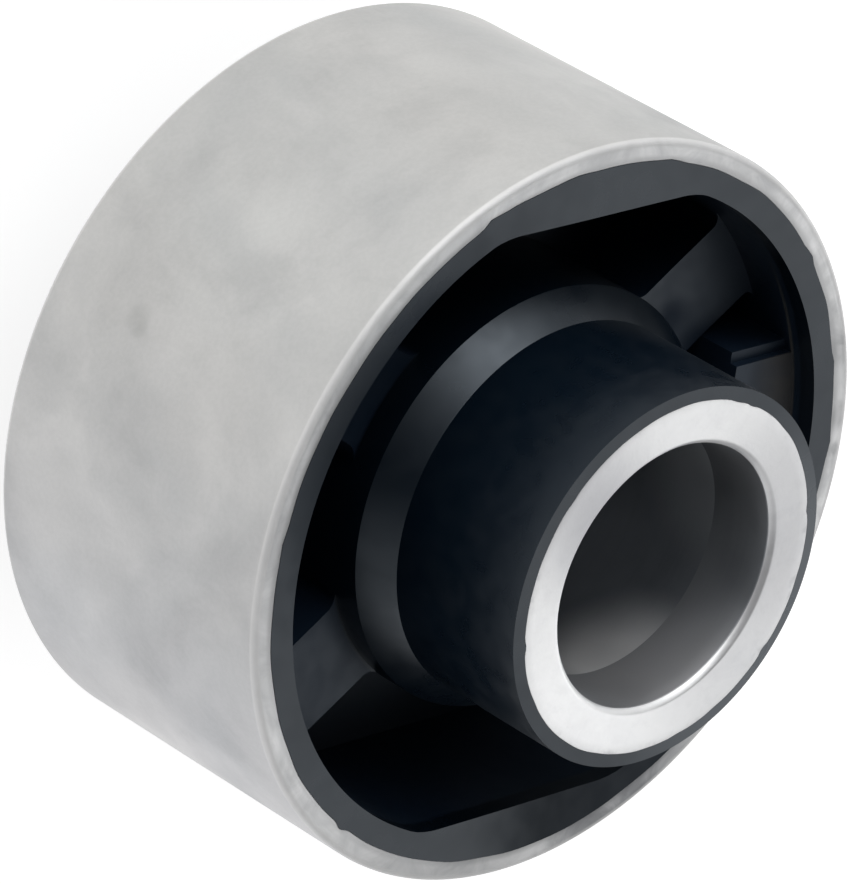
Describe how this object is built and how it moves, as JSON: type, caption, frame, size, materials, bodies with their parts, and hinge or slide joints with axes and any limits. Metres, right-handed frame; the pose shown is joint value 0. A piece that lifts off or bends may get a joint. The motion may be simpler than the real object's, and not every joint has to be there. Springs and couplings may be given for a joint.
{
  "type": "rubber metal bush",
  "caption": "Rubber-to-metal suspension bush: short outer steel sleeve, voided rubber moulding with arms, flats and a side stop, and a longer inner steel sleeve with a through bore.",
  "frame": {"origin": "centre of the lower end face of the inner sleeve, on the bore axis", "axes": "+Z along the bore axis, towards the end that faces the viewer in the picture; +Y across the flats of the liner; -X towards the side stop"},
  "size_m": [0.06, 0.06, 0.0524],
  "materials": {
    "outer_sleeve": "satin grey, slightly blotchy bare steel",
    "rubber_body": "satin black moulded rubber",
    "inner_sleeve": "bright cut end faces, darker grey bore"
  },
  "bodies": {
    "root": {"outer_sleeve": "outer_sleeve", "rubber_body": "rubber_body", "inner_sleeve": "inner_sleeve"}
  },
  "joints": []
}
